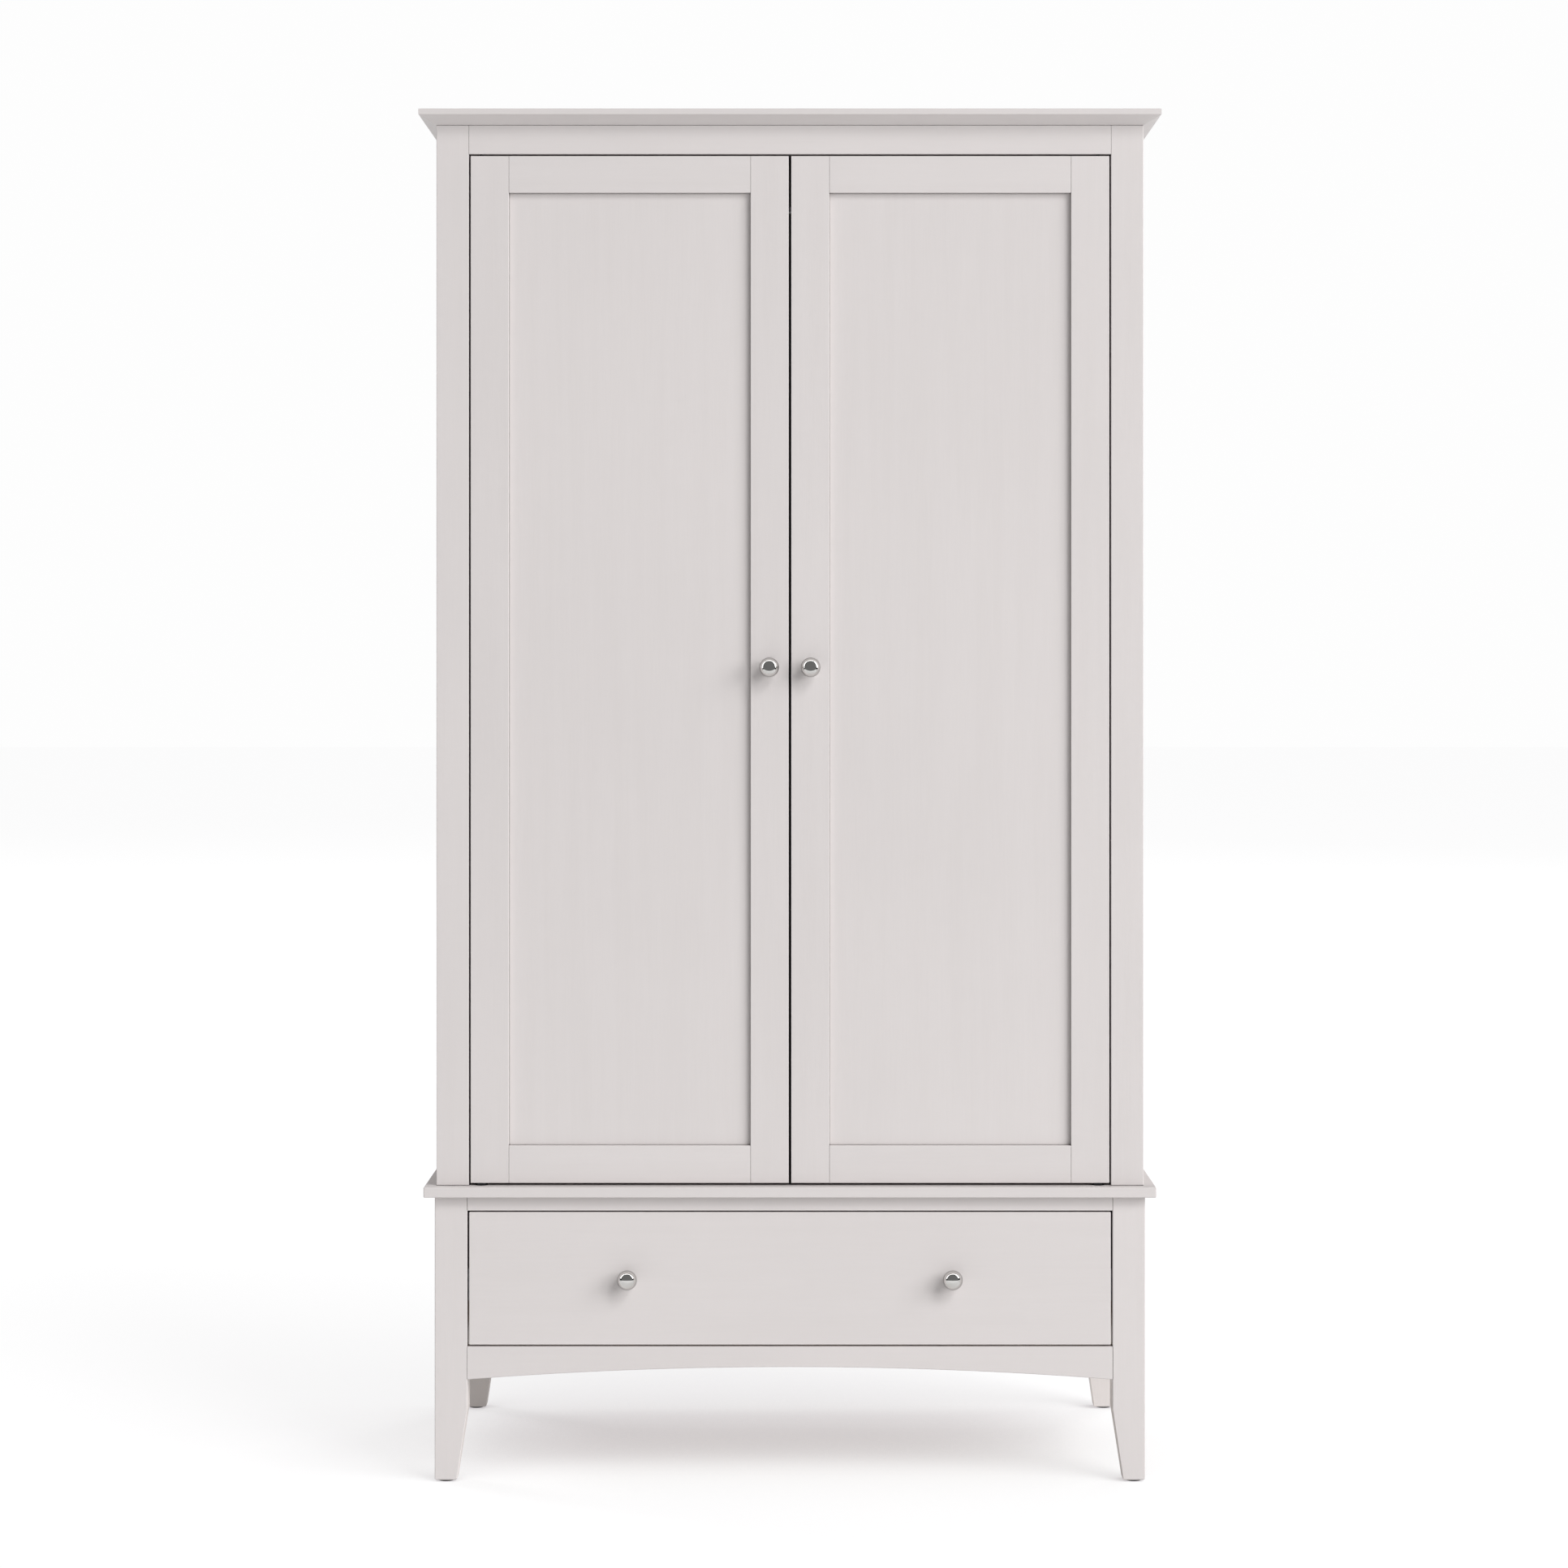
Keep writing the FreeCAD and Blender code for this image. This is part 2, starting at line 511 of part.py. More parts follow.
def knob(x, z, d_face):
    c = KNOB_PROJ - KNOB_R
    zn = c - (KNOB_R ** 2 - KNOB_NECK_R ** 2) ** 0.5
    q = [Vector(0, 0, 0), Vector(KNOB_BASE_R, 0, 0), Vector(KNOB_BASE_R, -KNOB_BASE_T, 0),
         Vector(KNOB_NECK_R, -KNOB_BASE_T, 0), Vector(KNOB_NECK_R, -zn, 0)]
    e = [Part.LineSegment(q[i], q[i + 1]).toShape() for i in range(4)]
    e.append(Part.Arc(q[4], Vector(KNOB_R, -c, 0), Vector(0, -KNOB_PROJ, 0)).toShape())
    e.append(Part.LineSegment(Vector(0, -KNOB_PROJ, 0), q[0]).toShape())
    s = Part.Face(Part.Wire(e)).revolve(Vector(0, 0, 0), Vector(0, 1, 0), 360)
    if not s.Solids:
        s = Part.Solid(Part.Shell(s.Faces))
    s = s.cut(Part.makeCylinder(2.0, 12.0, Vector(0, -11.0, 0), Vector(0, 1, 0)))
    s.translate(Vector(x, d_face + Y0, z))
    return s


for side, label in SIDES:
    write("drawer_knob_" + label, knob(side * DRAWER_KNOB_X, dz, LEG_FRONT))

# ---------------------------------------------------------------------------
# doors: two stiles over the full height, two rails between them and a flat
# panel held in a groove; drawn on the left and mirrored
# ---------------------------------------------------------------------------
DX0 = -UP_IN + DOOR_GAP
DX1 = -MEET_GAP / 2.0
SX0, SX1 = DX0 + STILE_W, DX1 - STILE_W
g0, g1 = PANEL_RECESS, PANEL_RECESS + PANEL_GROOVE_T
t0, t1 = g0 + 0.1, g1 - 0.1

hinge_stile = box(DX0, SX0, 0, DOOR_T, DOOR_Z0, DOOR_Z1, EDGE_R)
hinge_stile = cut(hinge_stile,
                  box(SX0 - GROOVE_DEPTH, SX0 + 1, g0, g1, DOOR_Z0 - 1, DOOR_Z1 + 1),
                  cyl_z(-PIN_X, PIN_D, DOOR_Z0 - 1, DOOR_Z0 + BUSH_L + 0.5, BUSH_R + 0.02),
                  cyl_z(-PIN_X, PIN_D, DOOR_Z1 - BUSH_L - 0.5, DOOR_Z1 + 1, BUSH_R + 0.02))
meet_stile = box(SX1, DX1, 0, DOOR_T, DOOR_Z0, DOOR_Z1, EDGE_R)
meet_stile = cut(meet_stile,
                 box(SX1 - 1, SX1 + GROOVE_DEPTH, g0, g1, DOOR_Z0 - 1, DOOR_Z1 + 1),
                 cyl_y(-DOOR_KNOB_X, DOOR_KNOB_Z, -1, DOOR_T + 1, 2.2))


def door_rail(z0, z1, groove_at_top):
    r = fuse(box(SX0, SX1, 0, DOOR_T, z0, z1, EDGE_R),
             box(SX0 - TONGUE, SX1 + TONGUE, t0, t1, z0, z1))
    if groove_at_top:
        g = box(SX0 - 20, SX1 + 20, g0, g1, z1 - GROOVE_DEPTH, z1 + 1)
    else:
        g = box(SX0 - 20, SX1 + 20, g0, g1, z0 - 1, z0 + GROOVE_DEPTH)
    return r.cut(g)


rail_top = door_rail(DOOR_Z1 - TOP_RAIL_H, DOOR_Z1, False)
rail_bottom = door_rail(DOOR_Z0, DOOR_Z0 + BOTTOM_RAIL_H, True)
panel = box(SX0 - TONGUE, SX1 + TONGUE, t0, t0 + PANEL_T,
            DOOR_Z0 + BOTTOM_RAIL_H - TONGUE, DOOR_Z1 - TOP_RAIL_H + TONGUE)
bush = []
for z0 in (DOOR_Z0, DOOR_Z1 - BUSH_L):
    bush.append(cyl_z(-PIN_X, PIN_D, z0, z0 + BUSH_L, BUSH_R)
                .cut(cyl_z(-PIN_X, PIN_D, z0 - 1, z0 + BUSH_L + 1, PIN_R + PIN_CLEAR)))
strike = box(-43, -13, DOOR_T, DOOR_T + 1.2, DOOR_Z1 - 14.0, DOOR_Z1 - 1.0)
knob_screw = fuse(cyl_y(-DOOR_KNOB_X, DOOR_KNOB_Z, -9, DOOR_T, 1.95),
                  cyl_y(-DOOR_KNOB_X, DOOR_KNOB_Z, DOOR_T, DOOR_T + 2.2, 4.5))

for side, label in SIDES:
    n = label + "_door_"
    write(n + "hinge_stile", sided(hinge_stile, side))
    write(n + "meeting_stile", sided(meet_stile, side))
    write(n + "top_rail", sided(rail_top, side))
    write(n + "bottom_rail", sided(rail_bottom, side))
    write(n + "panel", sided(panel, side))
    group(n + "pivot_bushes", [sided(s, side) for s in bush])
    write(n + "strike_plate", sided(strike, side))
    write(n + "knob_screw", sided(knob_screw, side))
    write(n + "knob", knob(side * DOOR_KNOB_X, DOOR_KNOB_Z, 0.0))
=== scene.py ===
import bpy
import bmesh
import json
import math
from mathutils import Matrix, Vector


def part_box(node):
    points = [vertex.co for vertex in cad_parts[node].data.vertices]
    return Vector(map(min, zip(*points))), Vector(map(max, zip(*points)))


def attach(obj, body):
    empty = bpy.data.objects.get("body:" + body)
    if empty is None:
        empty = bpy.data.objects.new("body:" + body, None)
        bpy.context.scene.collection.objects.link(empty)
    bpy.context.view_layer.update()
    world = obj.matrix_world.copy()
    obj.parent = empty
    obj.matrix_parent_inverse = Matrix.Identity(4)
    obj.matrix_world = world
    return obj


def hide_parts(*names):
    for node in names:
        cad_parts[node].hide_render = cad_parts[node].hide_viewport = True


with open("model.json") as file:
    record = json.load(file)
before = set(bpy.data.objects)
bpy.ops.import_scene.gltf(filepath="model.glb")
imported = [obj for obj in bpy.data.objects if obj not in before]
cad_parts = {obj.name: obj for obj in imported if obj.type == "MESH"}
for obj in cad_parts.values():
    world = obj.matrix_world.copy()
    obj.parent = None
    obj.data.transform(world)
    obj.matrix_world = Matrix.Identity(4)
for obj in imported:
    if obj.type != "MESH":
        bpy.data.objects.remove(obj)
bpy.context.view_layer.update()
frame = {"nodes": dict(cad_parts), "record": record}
nodes = frame["nodes"]

# ---------------------------------------------------------------------------
# positions come from the frame
# ---------------------------------------------------------------------------
post_lo, post_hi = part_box("upper_post_front_left")
leg_lo, leg_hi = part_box("leg_front_left")
FRONT = post_lo.y                       # front plane of the upper case

scene = bpy.context.scene
scene.view_settings.view_transform = "Standard"
scene.view_settings.look = "None"
scene.view_settings.exposure = 0.0
scene.view_settings.gamma = 1.0

# ---------------------------------------------------------------------------
# camera: level, square on, far enough away that the verticals stay upright
# ---------------------------------------------------------------------------
DIST = 5.36
cam_data = bpy.data.cameras.new("camera")
cam = bpy.data.objects.new("camera", cam_data)
scene.collection.objects.link(cam)
cam.location = (0.0, FRONT - DIST, 1.1534)
cam.rotation_euler = (math.radians(90), 0, 0)
cam_data.sensor_width = 36.0
cam_data.lens = 36.0 * DIST / (1932 * 0.001125)
cam_data.shift_x = -7.3 / 1932
cam_data.shift_y = -166.0 / 1932
cam_data.clip_start, cam_data.clip_end = 0.05, 200
cam_data.dof.use_dof = False
scene.camera = cam


# ---------------------------------------------------------------------------
# node helpers
# ---------------------------------------------------------------------------
def new_material(name):
    m = bpy.data.materials.new(name)
    m.use_nodes = True
    nt = m.node_tree
    nt.nodes.clear()
    out = nt.nodes.new("ShaderNodeOutputMaterial")
    bsdf = nt.nodes.new("ShaderNodeBsdfPrincipled")
    nt.links.new(bsdf.outputs["BSDF"], out.inputs["Surface"])
    return m, nt, bsdf


def add(nt, kind, **props):
    n = nt.nodes.new(kind)
    for k, v in props.items():
        setattr(n, k, v)
    return n


def coords(nt, scale=(1, 1, 1), location=(0, 0, 0), rotation=(0, 0, 0)):
    tc = add(nt, "ShaderNodeTexCoord")
    mp = add(nt, "ShaderNodeMapping")
    mp.inputs["Scale"].default_value = scale
    mp.inputs["Location"].default_value = location
    mp.inputs["Rotation"].default_value = rotation
    nt.links.new(tc.outputs["Object"], mp.inputs["Vector"])
    return mp.outputs["Vector"]


def noise(nt, vec, scale, detail=2.0, rough=0.5, distortion=0.0):
    n = add(nt, "ShaderNodeTexNoise")
    n.inputs["Scale"].default_value = scale
    n.inputs["Detail"].default_value = detail
    n.inputs["Roughness"].default_value = rough
    n.inputs["Distortion"].default_value = distortion
    nt.links.new(vec, n.inputs["Vector"])
    return n.outputs["Fac"]


def ramp(nt, fac, stops):
    r = add(nt, "ShaderNodeValToRGB")
    el = r.color_ramp.elements
    while len(el) > len(stops):
        el.remove(el[-1])
    while len(el) < len(stops):
        el.new(0.5)
    for e, (pos, col) in zip(el, stops):
        e.position = pos
        e.color = (*col, 1.0)
    nt.links.new(fac, r.inputs["Fac"])
    return r.outputs["Color"]


def remap(nt, val, a, b, c, d):
    m = add(nt, "ShaderNodeMapRange")
    m.inputs["From Min"].default_value = a
    m.inputs["From Max"].default_value = b
    m.inputs["To Min"].default_value = c
    m.inputs["To Max"].default_value = d
    nt.links.new(val, m.inputs["Value"])
    return m.outputs["Result"]


def math_node(nt, op, a, b):
    m = add(nt, "ShaderNodeMath", operation=op)
    for i, v in enumerate((a, b)):
        if isinstance(v, (int, float)):
            m.inputs[i].default_value = v
        else:
            nt.links.new(v, m.inputs[i])
    return m.outputs[0]


def bump(nt, height, strength, distance, normal=None):
    b = add(nt, "ShaderNodeBump")
    b.inputs["Strength"].default_value = strength
    b.inputs["Distance"].default_value = distance
    nt.links.new(height, b.inputs["Height"])
    if normal is not None:
        nt.links.new(normal, b.inputs["Normal"])
    return b.outputs["Normal"]


GRAIN = {"x": (0.045, 1.0, 1.0), "y": (1.0, 0.045, 1.0), "z": (1.0, 1.0, 0.045)}


def tint(c, k):
    return tuple(min(1.0, v * k) for v in c)


PAINT = (0.700, 0.662, 0.655)


def multiply(nt, a, b, factor):
    m = add(nt, "ShaderNodeMix", data_type="RGBA", blend_type="MULTIPLY")
    for name, v in (("Factor", factor), ("A", a), ("B", b)):
        if hasattr(v, "is_linked"):
            nt.links.new(v, m.inputs[name])
        elif isinstance(v, (int, float)):
            m.inputs[name].default_value = v
        else:
            m.inputs[name].default_value = (*v, 1.0)
    return m.outputs["Result"]


def paint_material(axis, seed, base=PAINT):
    """Sprayed satin paint over sanded boards: a faint grain along the board, fine
    orange peel, a slow drift of tone from board to board, and painted shade: the
    colour is darkened where ambient occlusion within 2.2 mm is low, in joints, gaps
    and inside corners."""
    m, nt, b = new_material("paint_%s_%d" % (axis, seed))
    off = (seed * 3.17, seed * 1.93, seed * 2.41)
    board = 1.0 + 0.008 * math.sin(seed * 2.7)
    grain_v = coords(nt, GRAIN[axis], off)
    free_v = coords(nt, (1, 1, 1), off)
    grain = noise(nt, grain_v, 420.0, 4.0, 0.55, 0.2)
    streak = noise(nt, grain_v, 60.0, 3.0, 0.5, 0.4)
    peel = noise(nt, free_v, 900.0, 2.0, 0.5)
    slow = noise(nt, free_v, 2.3, 3.0, 0.5)
    tone = ramp(nt, slow, [(0.30, tint(base, board * 0.985)), (0.70, tint(base, board * 1.015))])
    fine = ramp(nt, grain, [(0.25, (0.955, 0.955, 0.955)), (0.75, (1.0, 1.0, 1.0))])
    wide = ramp(nt, streak, [(0.30, (0.975, 0.973, 0.970)), (0.65, (1.0, 1.0, 1.0))])
    col = multiply(nt, multiply(nt, tone, fine, 0.35), wide, 0.55)
    # painted shade: the colour is darkened where ambient occlusion within 2.2 mm is low, in joint lines, gaps and
    # inside corners
    painted_shade_ao = add(nt, "ShaderNodeAmbientOcclusion", samples=6)
    painted_shade_ao.inputs["Distance"].default_value = 0.0022
    painted_joint_shade = ramp(nt, painted_shade_ao.outputs["AO"], [(0.38, (0.10, 0.09, 0.085)), (0.86, (1.0, 1.0, 1.0))])
    col = multiply(nt, col, painted_joint_shade, 1.0)
    nt.links.new(col, b.inputs["Base Color"])
    nt.links.new(remap(nt, streak, 0.3, 0.7, 0.40, 0.50), b.inputs["Roughness"])
    n1 = bump(nt, peel, 0.10, 0.0004)
    n2 = bump(nt, grain, 0.14, 0.0004, n1)
    nt.links.new(n2, b.inputs["Normal"])
    b.inputs["IOR"].default_value = 1.48
    return m


def wood_material(axis, seed, light=(0.70, 0.54, 0.36), dark=(0.58, 0.42, 0.255), figure=0.45):
    """Clear lacquered softwood: long growth lines, fine pores."""
    m, nt, b = new_material("wood_%s_%d" % (axis, seed))
    off = (seed * 1.37, seed * 2.11, seed * 0.83)
    gv = coords(nt, GRAIN[axis], off)
    warp = noise(nt, gv, 14.0, 3.0, 0.5, 0.6)
    wave = add(nt, "ShaderNodeTexWave", wave_type="BANDS",
               bands_direction={"x": "Y", "y": "X", "z": "X"}[axis])
    wave.inputs["Scale"].default_value = 9.0
    wave.inputs["Distortion"].default_value = 14.0
    wave.inputs["Detail"].default_value = 3.0
    wave.inputs["Detail Scale"].default_value = 1.3
    nt.links.new(gv, wave.inputs["Vector"])
    pores = noise(nt, gv, 700.0, 3.0, 0.6)
    k = math_node(nt, "ADD", math_node(nt, "MULTIPLY", wave.outputs["Fac"], figure),
                  math_node(nt, "MULTIPLY", warp, 1.0 - figure))
    col = ramp(nt, k, [(0.25, dark), (0.55, light), (0.9, tint(light, 1.08))])
    fine = ramp(nt, pores, [(0.3, (0.86, 0.84, 0.80)), (0.6, (1.0, 1.0, 1.0))])
    mix = add(nt, "ShaderNodeMix", data_type="RGBA", blend_type="MULTIPLY")
    mix.inputs["Factor"].default_value = 0.8
    nt.links.new(col, mix.inputs["A"])
    nt.links.new(fine, mix.inputs["B"])
    nt.links.new(mix.outputs["Result"], b.inputs["Base Color"])
    nt.links.new(remap(nt, pores, 0.3, 0.7, 0.38, 0.52), b.inputs["Roughness"])
    nt.links.new(bump(nt, pores, 0.15, 0.0004), b.inputs["Normal"])
    return m


def metal_material(name, base, rough, brush=None, spread=0.04):
    m, nt, b = new_material(name)
    b.inputs["Metallic"].default_value = 1.0
    v = coords(nt, GRAIN[brush] if brush else (1, 1, 1))
    fine = noise(nt, v, 1600.0 if brush else 500.0, 3.0, 0.6)
    slow = noise(nt, coords(nt), 30.0, 2.0, 0.5)
    col = ramp(nt, slow, [(0.3, tint(base, 0.96)), (0.7, tint(base, 1.02))])
    nt.links.new(col, b.inputs["Base Color"])
    nt.links.new(remap(nt, fine, 0.3, 0.7, max(0.01, rough - spread), rough + spread), b.inputs["Roughness"])
    if brush:
        nt.links.new(bump(nt, fine, 0.12, 0.0002), b.inputs["Normal"])
    return m


def plastic_material(name, base, rough=0.45):
    m, nt, b = new_material(name)
    v = coords(nt)
    fine = noise(nt, v, 1500.0, 3.0, 0.6)
    slow = noise(nt, v, 25.0, 2.0, 0.5)
    nt.links.new(ramp(nt, slow, [(0.3, tint(base, 0.96)), (0.7, tint(base, 1.03))]), b.inputs["Base Color"])
    nt.links.new(remap(nt, fine, 0.3, 0.7, rough - 0.05, rough + 0.07), b.inputs["Roughness"])
    nt.links.new(bump(nt, fine, 0.2, 0.0002), b.inputs["Normal"])
    return m


# ---------------------------------------------------------------------------
# materials of the CAD nodes
# ---------------------------------------------------------------------------
def set_material(o, m):
    o.data.materials.clear()
    o.data.materials.append(m)
    for p in o.data.polygons:
        p.material_index = 0


slots = {s["node"]: s["material_slot"] for s in frame["record"]["subparts"]}

HORIZONTAL_X = ("rail", "waist_board", "cornice_board", "drawer_front", "arched")
HORIZONTAL_Y = ("upper_side_top_rails", "upper_side_bottom_rails", "lower_side_panel")


def grain_axis(n):
    if any(k in n for k in HORIZONTAL_Y):
        return "y"
    if "stile" in n or "post" in n or "leg" in n or "panel" in n:
        return "z"
    if any(k in n for k in HORIZONTAL_X):
        return "x"
    return "z"


zinc = metal_material("zinc_plate", (0.62, 0.63, 0.62), 0.30, None, 0.06)
runner = metal_material("runner_zinc", (0.60, 0.62, 0.64), 0.28, "y")
tube = metal_material("rail_chrome", (0.80, 0.81, 0.82), 0.10, "x", 0.03)
nickel = metal_material("polished_nickel", (0.77, 0.76, 0.745), 0.025, None, 0.006)
for node in nickel.node_tree.nodes:
    if node.type == "BSDF_PRINCIPLED":
        node.inputs["Specular Tint"].default_value = (0.35, 0.35, 0.35, 1.0)   # chrome darkens towards grazing
catch = plastic_material("catch_white", (0.80, 0.80, 0.78), 0.4)
glide = plastic_material("glide_black", (0.03, 0.03, 0.03), 0.5)
oxide = metal_material("black_oxide", (0.045, 0.045, 0.05), 0.42, None, 0.06)
bush = plastic_material("nylon_black", (0.022, 0.022, 0.024), 0.45)

seed = 0
for n, o in sorted(nodes.items()):
    s = slots[n]
    seed += 1
    if s == "painted_wood":
        set_material(o, paint_material(grain_axis(n), seed))
    elif s == "bare_wood":
        if n == "drawer_bottom":
            m = wood_material("x", seed, (0.74, 0.60, 0.42), (0.66, 0.51, 0.335), 0.10)
        elif "side" in n or n == "runner_battens":
            m = wood_material("y", seed)
        elif n == "frame_dowels":
            m = wood_material("z", seed)
        else:
            m = wood_material("x", seed)
        set_material(o, m)
    elif s == "runner_steel":
        set_material(o, runner)
    elif s == "rail_chrome":
        set_material(o, tube)
    elif s == "polished_nickel":
        set_material(o, nickel)
    elif s == "zinc_steel":
        set_material(o, zinc)
    elif s == "black_steel":
        set_material(o, oxide)
    elif s == "nylon":
        set_material(o, bush)
    elif s == "catch_plastic":
        set_material(o, catch)
    elif s == "glide_plastic":
        set_material(o, glide)


# ---------------------------------------------------------------------------
# knobs: turned ball, neck and collar, finer than the frame's solid
# ---------------------------------------------------------------------------
def lathe(name, profile, segments, material):
    """profile is (radius, y) from the base to the tip, about the Y axis."""
    bm = bmesh.new()
    rings = []
    for r, y in profile:
        if r < 1e-7:
            rings.append([bm.verts.new((0, y, 0))])
        else:
            rings.append([bm.verts.new((r * math.cos(2 * math.pi * i / segments), y,
                                        r * math.sin(2 * math.pi * i / segments))) for i in range(segments)])
    for a, b in zip(rings, rings[1:]):
        for i in range(segments):
            j = (i + 1) % segments
            if len(a) == 1 and len(b) == 1:
                continue
            if len(a) == 1:
                bm.faces.new((a[0], b[j], b[i]))
            elif len(b) == 1:
                bm.faces.new((a[i], a[j], b[0]))
            else:
                bm.faces.new((a[i], a[j], b[j], b[i]))
    bmesh.ops.recalc_face_normals(bm, faces=bm.faces)
    me = bpy.data.meshes.new(name)
    bm.to_mesh(me)
    bm.free()
    for p in me.polygons:
        p.use_smooth = True
    me.materials.append(material)
    o = bpy.data.objects.new(name, me)
    scene.collection.objects.link(o)
    return o


def knob_profile():
    r, proj, neck, base, bt = 0.0135, 0.030, 0.0046, 0.0065, 0.0016
    c = proj - r
    zn = c - math.sqrt(r * r - neck * neck)
    pts = [(0.0, 0.0), (base, 0.0), (base, -(bt - 0.0005))]
    for i in range(1, 7):
        a = math.pi / 2 * i / 6
        pts.append((base - 0.0005 * (1 - math.cos(a)), -(bt - 0.0005) - 0.0005 * math.sin(a)))
    for i in range(1, 7):                    # cove into the neck
        a = math.pi / 2 * i / 6
        pts.append((base - 0.0005 - (base - 0.0005 - neck) * math.sin(a), -bt - 0.0007 * (1 - math.cos(a))))
    pts.append((neck, -zn))
    a0 = math.asin(neck / r)
    for i in range(1, 60):
        a = a0 + (math.pi - a0) * i / 59
        pts.append((r * math.sin(a) if i < 59 else 0.0, -c + r * math.cos(a)))
    return pts


for n, body in (("left_door_knob", "left_door"), ("right_door_knob", "right_door"),
                ("drawer_knob_left", "drawer"), ("drawer_knob_right", "drawer")):
    lo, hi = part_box(n)
    k = lathe("turned_" + n, knob_profile(), 96, nickel)
    k.location = ((lo.x + hi.x) / 2, hi.y, (lo.z + hi.z) / 2)
    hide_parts(n)
    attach(k, body)

# ---------------------------------------------------------------------------
# floor
# ---------------------------------------------------------------------------
bm = bmesh.new()
bmesh.ops.create_grid(bm, x_segments=4, y_segments=4, size=40.0)
me = bpy.data.meshes.new("floor")
bm.to_mesh(me)
bm.free()
floor = bpy.data.objects.new("floor", me)
scene.collection.objects.link(floor)
m = bpy.data.materials.new("floor_white_painted_shadow")
m.use_nodes = True
m.cycles.emission_sampling = "NONE"
nt = m.node_tree
nt.nodes.clear()
out = add(nt, "ShaderNodeOutputMaterial")
# seen directly: a white sweep with a painted contact shadow, an emission whose colour is set by
# ambient occlusion, over a dim diffuse floor that takes the lamps' shadows
seen = add(nt, "ShaderNodeBsdfDiffuse")
seen.inputs["Color"].default_value = (0.219, 0.219, 0.222, 1)
painted_shade_ao = add(nt, "ShaderNodeAmbientOcclusion", samples=16)
painted_shade_ao.inputs["Distance"].default_value = 1.6
# painted shadow: the ambient occlusion counts open sky around a normal leaning to the front right, so the painted
# shadow falls back and to the left
shadow_lean = add(nt, "ShaderNodeCombineXYZ")
shadow_lean.inputs["X"].default_value = 0.30
shadow_lean.inputs["Y"].default_value = -0.42
shadow_lean.inputs["Z"].default_value = 0.856
nt.links.new(shadow_lean.outputs["Vector"], painted_shade_ao.inputs["Normal"])
# painted shadow: this emission is seen only by the camera, and its colour comes from the ramp below
painted_shadow_glow = add(nt, "ShaderNodeEmission")
painted_shadow_glow.inputs["Color"].default_value = (1, 1, 1, 1)
# painted shadow: darker and a little cooler where the leaning ambient occlusion is low
painted_floor_shadow = ramp(nt, painted_shade_ao.outputs["AO"], [(v, (c, 1.07 * c - 0.0599, 1.03 * c - 0.0257)) for v, c in
                                    ((0.0, 0.48), (0.20, 0.52), (0.30, 0.59), (0.40, 0.68), (0.60, 0.775), (0.80, 0.820), (1.0, 0.848))])
nt.links.new(painted_floor_shadow, painted_shadow_glow.inputs["Color"])
painted_shadow_glow.inputs["Strength"].default_value = 1.0
both = add(nt, "ShaderNodeAddShader")
nt.links.new(seen.outputs[0], both.inputs[0])
nt.links.new(painted_shadow_glow.outputs[0], both.inputs[1])
# as the object sees it: a lit white floor
unseen = add(nt, "ShaderNodeBsdfDiffuse")
unseen.inputs["Color"].default_value = (0.62, 0.62, 0.62, 1)
lit = add(nt, "ShaderNodeEmission")
lit.inputs["Strength"].default_value = 0.22
under = add(nt, "ShaderNodeAddShader")
nt.links.new(unseen.outputs[0], under.inputs[0])
nt.links.new(lit.outputs[0], under.inputs[1])
lp = add(nt, "ShaderNodeLightPath")
mix = add(nt, "ShaderNodeMixShader")
nt.links.new(lp.outputs["Is Camera Ray"], mix.inputs[0])
nt.links.new(under.outputs[0], mix.inputs[1])
nt.links.new(both.outputs[0], mix.inputs[2])
nt.links.new(mix.outputs[0], out.inputs["Surface"])
me.materials.append(m)


# ---------------------------------------------------------------------------
# studio cards: seen only in reflections, they give the polished knobs a room
# ---------------------------------------------------------------------------
def card(name, corners, radiance):
    me = bpy.data.meshes.new(name)
    me.from_pydata([Vector(c) for c in corners], [], [(0, 1, 2, 3)])
    o = bpy.data.objects.new(name, me)
    scene.collection.objects.link(o)
    m = bpy.data.materials.new(name)
    m.use_nodes = True
    m.cycles.emission_sampling = "NONE"
    nt = m.node_tree
    nt.nodes.clear()
    out = add(nt, "ShaderNodeOutputMaterial")
    e = add(nt, "ShaderNodeEmission")
    e.inputs["Color"].default_value = (1, 1, 1, 1)
    e.inputs["Strength"].default_value = radiance
    nt.links.new(e.outputs[0], out.inputs["Surface"])
    me.materials.append(m)
    o.visible_camera = False
    o.visible_diffuse = False
    o.visible_transmission = False
    o.visible_volume_scatter = False
    o.visible_shadow = False
    return o


CY = FRONT - 0.85
WX = 2.1


def wall_front(name, x0, x1, z0, z1, radiance):
    card(name, [(x0, CY, z0), (x1, CY, z0), (x1, CY, z1), (x0, CY, z1)], radiance)


def wall_side(name, x, y0, y1, z0, z1, radiance):
    card(name, [(x, y0, z0), (x, y1, z0), (x, y1, z1), (x, y0, z1)], radiance)


wall_front("card_front", -WX, WX, 0.36, 5.0, 0.17)
wall_front("card_front_low", -WX, WX, 0.0, 0.36, 0.90)
wall_side("card_right_dark", WX, CY, FRONT - 0.60, 0.4545, 5.0, 0.06)
wall_side("card_right", WX, FRONT - 0.60, CY + 2.0, 1.06, 4.6, 3.0)
wall_side("card_right_low", WX, FRONT - 0.60, CY + 2.0, 0.4545, 1.06, 0.02)
wall_side("card_right_floor", WX, CY, CY + 2.0, 0.0, 0.4545, 0.7)
wall_side("card_left_dark", -WX, CY, FRONT - 0.40, 0.4545, 5.0, 0.04)
wall_side("card_left", -WX, FRONT - 0.40, CY + 2.0, 0.90, 4.6, 2.4)
wall_side("card_left_low", -WX, FRONT - 0.40, CY + 2.0, 0.4545, 0.90, 0.06)
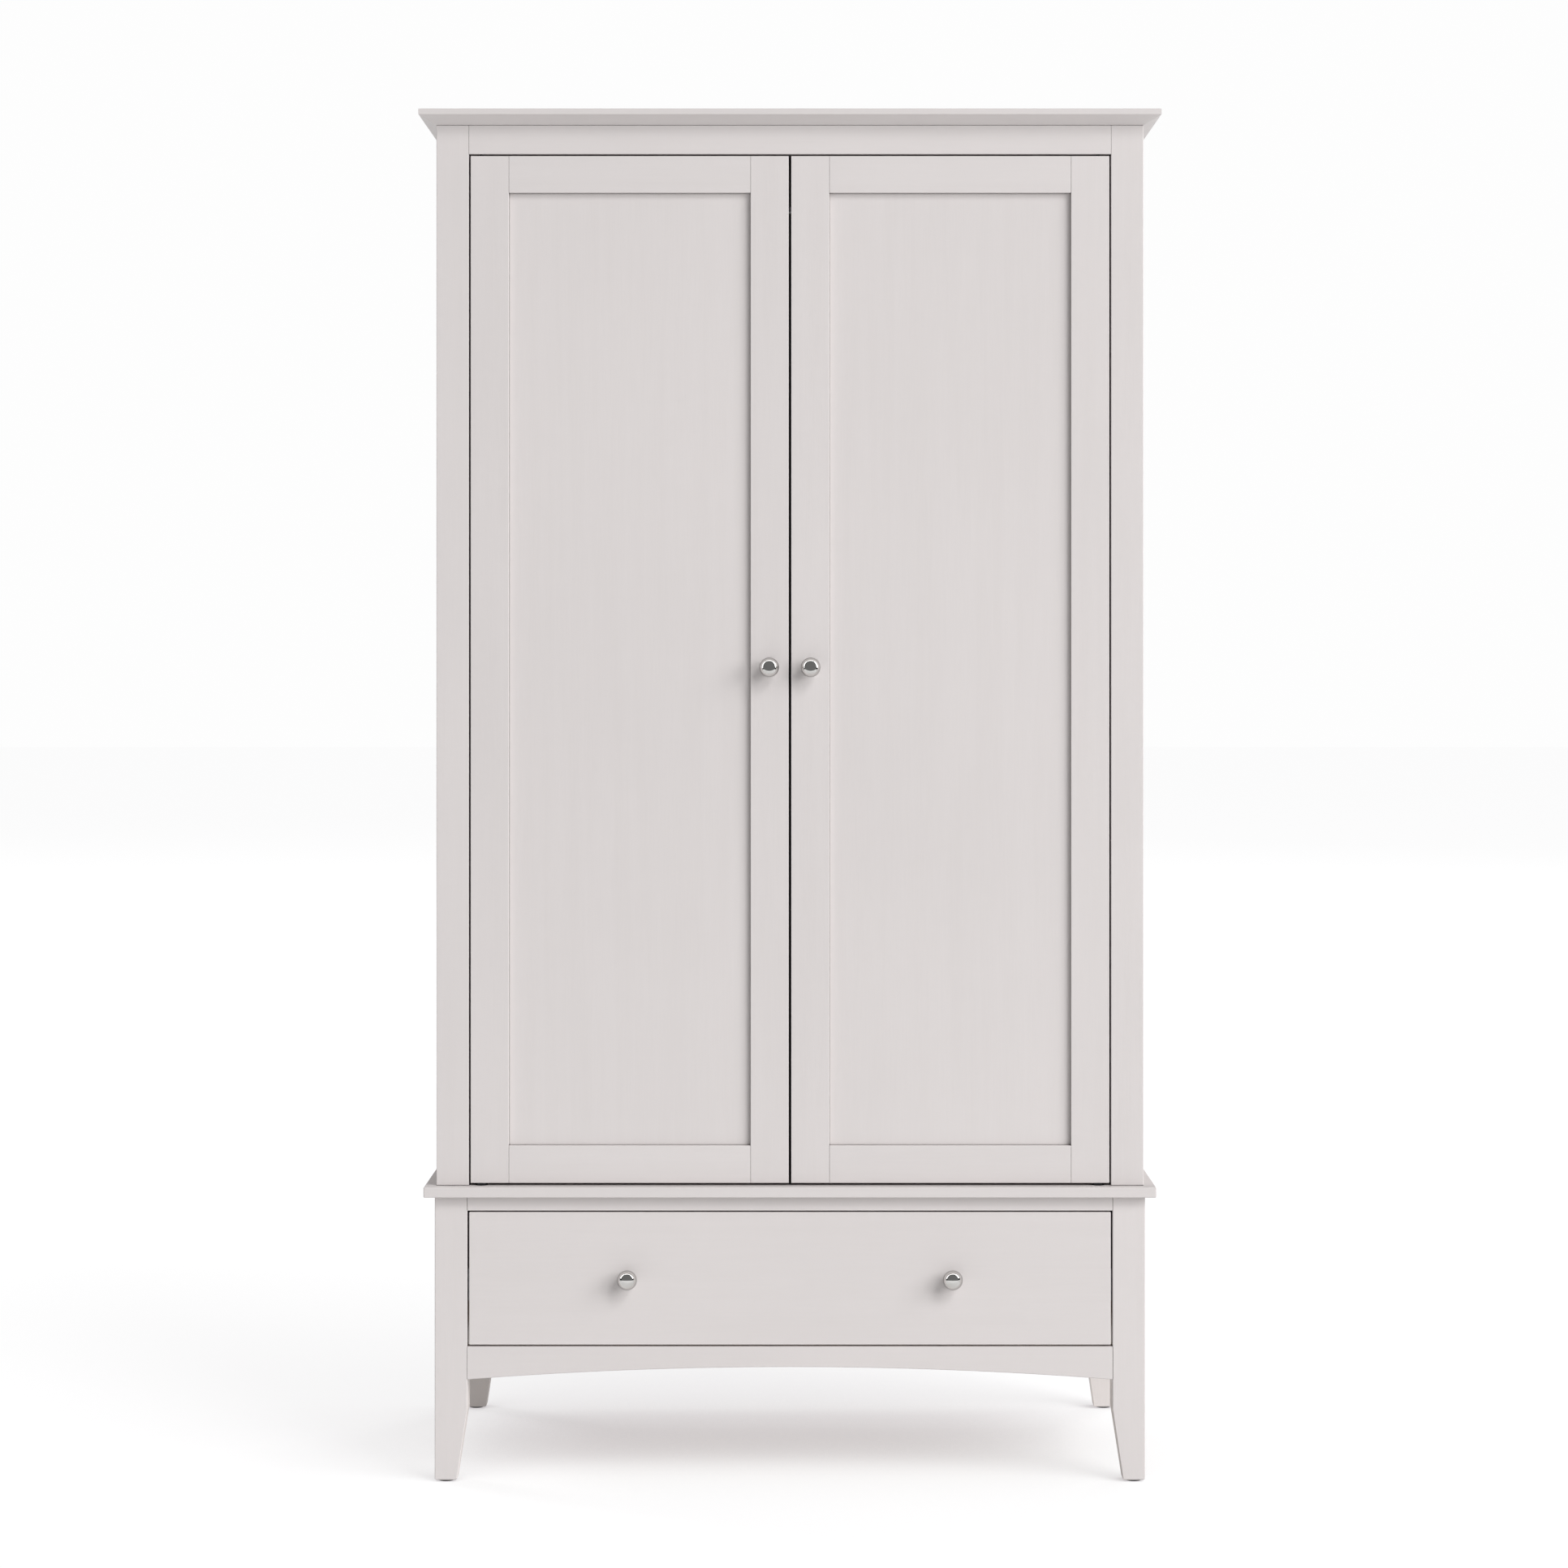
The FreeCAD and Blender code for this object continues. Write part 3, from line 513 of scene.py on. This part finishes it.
card("card_top_dark", [(-WX, CY, 5.0), (WX, CY, 5.0), (WX, FRONT - 0.50, 5.0), (-WX, FRONT - 0.50, 5.0)], 0.05)
card("card_top", [(-WX, FRONT - 0.50, 5.0), (WX, FRONT - 0.50, 5.0), (WX, CY + 3.0, 5.0), (-WX, CY + 3.0, 5.0)], 2.6)

# ---------------------------------------------------------------------------
# light: a soft key from the upper right, a second from the right, a weak pale
# room, and two weak lights behind for the sides and the back
# ---------------------------------------------------------------------------
world = bpy.data.worlds.new("studio")
scene.world = world
world.use_nodes = True
nt = world.node_tree
nt.nodes.clear()
out = add(nt, "ShaderNodeOutputWorld")
seen_bg = add(nt, "ShaderNodeBackground")
seen_bg.inputs["Color"].default_value = (0.985, 0.985, 0.985, 1)
seen_bg.inputs["Strength"].default_value = 1.0
room = add(nt, "ShaderNodeBackground")
room.inputs["Color"].default_value = (1.0, 1.0, 1.0, 1)
room.inputs["Strength"].default_value = 0.22
lp = add(nt, "ShaderNodeLightPath")
mix = add(nt, "ShaderNodeMixShader")
nt.links.new(lp.outputs["Is Camera Ray"], mix.inputs[0])
nt.links.new(room.outputs[0], mix.inputs[1])
nt.links.new(seen_bg.outputs[0], mix.inputs[2])
nt.links.new(mix.outputs[0], out.inputs["Surface"])


def direction(azimuth, elevation):
    """azimuth 0 is in front of the object, positive to the right"""
    a, e = math.radians(azimuth), math.radians(elevation)
    return Vector((math.sin(a) * math.cos(e), -math.cos(a) * math.cos(e), math.sin(e)))


def soft_light(name, azimuth, elevation, distance, size, power):
    d = bpy.data.lights.new(name, "AREA")
    d.shape = "SQUARE"
    d.size = size
    d.energy = power
    o = bpy.data.objects.new(name, d)
    scene.collection.objects.link(o)
    way = direction(azimuth, elevation)
    o.location = way * distance + Vector((0, 0, 1.0))
    o.rotation_euler = (-way).to_track_quat("-Z", "Y").to_euler()
    o.visible_camera = False
    o.visible_glossy = False
    return o


def far_light(name, azimuth, elevation, angle, strength):
    d = bpy.data.lights.new(name, "SUN")
    d.angle = math.radians(angle)
    d.energy = strength
    o = bpy.data.objects.new(name, d)
    scene.collection.objects.link(o)
    o.rotation_euler = (-direction(azimuth, elevation)).to_track_quat("-Z", "Y").to_euler()
    o.visible_glossy = False
    return o


far_light("key", 35, 42, 18, 0.76)
far_light("side", 50, 23, 50, 1.33)
soft_light("near_side", 56, 16, 6.5, 3.0, 140)
soft_light("behind_left", -128, 24, 14.0, 4.0, 700)
soft_light("behind_right", 150, 30, 14.0, 4.0, 450)
